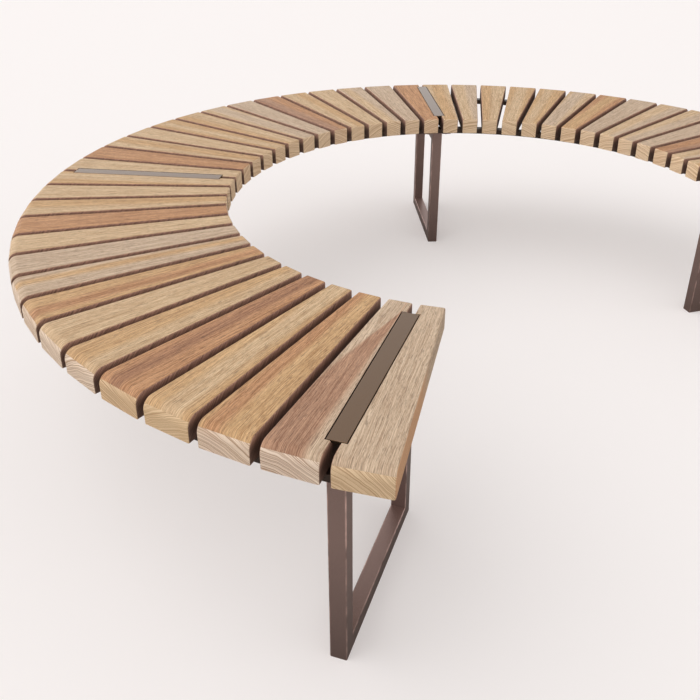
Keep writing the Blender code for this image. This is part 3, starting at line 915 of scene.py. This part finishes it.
CAMERA_AT = Vector((-1.5502, -1.4289, 1.1625))
CAMERA_HEADING = radians(316.091)
CAMERA_DIP = radians(28.381)
CAMERA_ROLL = radians(0.245)
LENS_MM = 41.765
LENS_SHIFT = (-0.01674, -0.06700)
FLOOR_WIDTH = 40.0
LIGHT_SIDE = Vector((-0.72, 0.69, 0))
KEY_FROM = Vector((-0.6, 0.6, 1.2))
FILL_FROM = Vector((0.45, -0.9, 0.18))
LIGHT_SPREAD = radians(60)


class BENCH_OT_set_stage(Operator):
    """Lay the floor and set the light and the camera"""
    bl_idname = "bench.set_stage"
    bl_label = "Studio"

    def execute(self, context):
        studio = context.scene.bench_studio
        model = bmesh.new()
        bmesh.ops.create_grid(model, x_segments=1, y_segments=1, size=FLOOR_WIDTH / 2)
        mesh = bpy.data.meshes.new("floor")
        model.to_mesh(mesh)
        model.free()
        mesh.materials.append(studio_floor(studio))
        floor = bpy.data.objects.new("floor", mesh)
        context.scene.collection.objects.link(floor)
        self.light_from_all_sides(context, studio)
        self.hang_light(context, "key", KEY_FROM, studio.key_strength)
        self.hang_light(context, "fill", FILL_FROM, studio.fill_strength)
        self.stand_camera(context)
        return {"FINISHED"}

    def light_from_all_sides(self, context, studio):
        """A world lighter low down and at the back left, and a plain white backdrop to the camera."""
        world = bpy.data.worlds.new("studio")
        world.use_nodes = True
        tree = world.node_tree
        sky = tree.nodes["Background"]
        sky.inputs["Color"].default_value = (1, 1, 1, 1)
        direction = add_node(tree, "ShaderNodeTexCoord").outputs["Generated"]
        height = add_node(tree, "ShaderNodeSeparateXYZ", {"Vector": direction}).outputs["Z"]
        light = add_node(tree, "ShaderNodeMapRange", {
            "Value": height, "From Max": 0.9, "To Min": studio.side_light, "To Max": studio.top_light},
            interpolation_type="SMOOTHSTEP")
        sideways = add_node(tree, "ShaderNodeVectorMath", {
            0: direction, 1: LIGHT_SIDE}, operation="DOT_PRODUCT").outputs["Value"]
        leaning = add_node(tree, "ShaderNodeMath", {
            0: sideways, 1: studio.lean, 2: 1}, operation="MULTIPLY_ADD")
        light = add_node(tree, "ShaderNodeMath", {0: light, 1: leaning}, operation="MULTIPLY")
        camera = add_node(tree, "ShaderNodeLightPath").outputs["Is Camera Ray"]
        strength = add_node(tree, "ShaderNodeMix", {
            "Factor": camera, "A": light, "B": 1.0}, data_type="FLOAT")
        tree.links.new(strength.outputs["Result"], sky.inputs["Strength"])
        context.scene.world = world

    def hang_light(self, context, name, source, strength):
        """A very wide soft light from one side."""
        lamp = bpy.data.lights.new(name, "SUN")
        lamp.angle = LIGHT_SPREAD
        lamp.energy = strength
        light = bpy.data.objects.new(name, lamp)
        light.rotation_euler = (-source).to_track_quat("-Z", "Y").to_euler()
        context.scene.collection.objects.link(light)

    def stand_camera(self, context):
        """The camera at the photograph's viewing angle."""
        lens = bpy.data.cameras.new("camera")
        lens.lens = LENS_MM
        lens.shift_x, lens.shift_y = LENS_SHIFT
        camera = bpy.data.objects.new("camera", lens)
        turn = (Matrix.Rotation(CAMERA_HEADING, 4, "Z") @ Matrix.Rotation(pi / 2 - CAMERA_DIP, 4, "X")
                @ Matrix.Rotation(CAMERA_ROLL, 4, "Z"))
        camera.matrix_world = Matrix.Translation(CAMERA_AT) @ turn
        context.scene.collection.objects.link(camera)
        context.scene.camera = camera
        context.scene.view_settings.view_transform = "Standard"


STEPS = (BENCH_OT_set_stage, BENCH_OT_add_slats, BENCH_OT_add_inlay_bars, BENCH_OT_add_rails,
         BENCH_OT_add_leg_frames, BENCH_OT_add_fasteners)
GROUPS = {"bench_slats": SlatSettings, "bench_metal": MetalSettings, "bench_colours": ColourSettings,
          "bench_studio": StudioSettings}


class BENCH_PT_sidebar(Panel):
    """Lists the bench's sizes, colours and making steps"""
    bl_label = "Modular Park Bench"
    bl_space_type = "VIEW_3D"
    bl_region_type = "UI"
    bl_category = "Bench"

    def draw(self, context):
        for group, settings in GROUPS.items():
            column = self.layout.column(align=True)
            for name in settings.__annotations__:
                column.prop(getattr(context.scene, group), name)
        for step in STEPS:
            self.layout.operator(step.bl_idname)


def register():
    for entry in (*GROUPS.values(), *STEPS, BENCH_PT_sidebar):
        bpy.utils.register_class(entry)
    for name, settings in GROUPS.items():
        setattr(bpy.types.Scene, name, PointerProperty(type=settings))


def unregister():
    for name in GROUPS:
        delattr(bpy.types.Scene, name)
    for entry in (BENCH_PT_sidebar, *reversed(STEPS), *reversed(GROUPS.values())):
        bpy.utils.unregister_class(entry)


def main():
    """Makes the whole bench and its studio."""
    register()
    for step in STEPS:
        group, name = step.bl_idname.split(".")
        getattr(getattr(bpy.ops, group), name)()


if __name__ == "__main__":
    main()
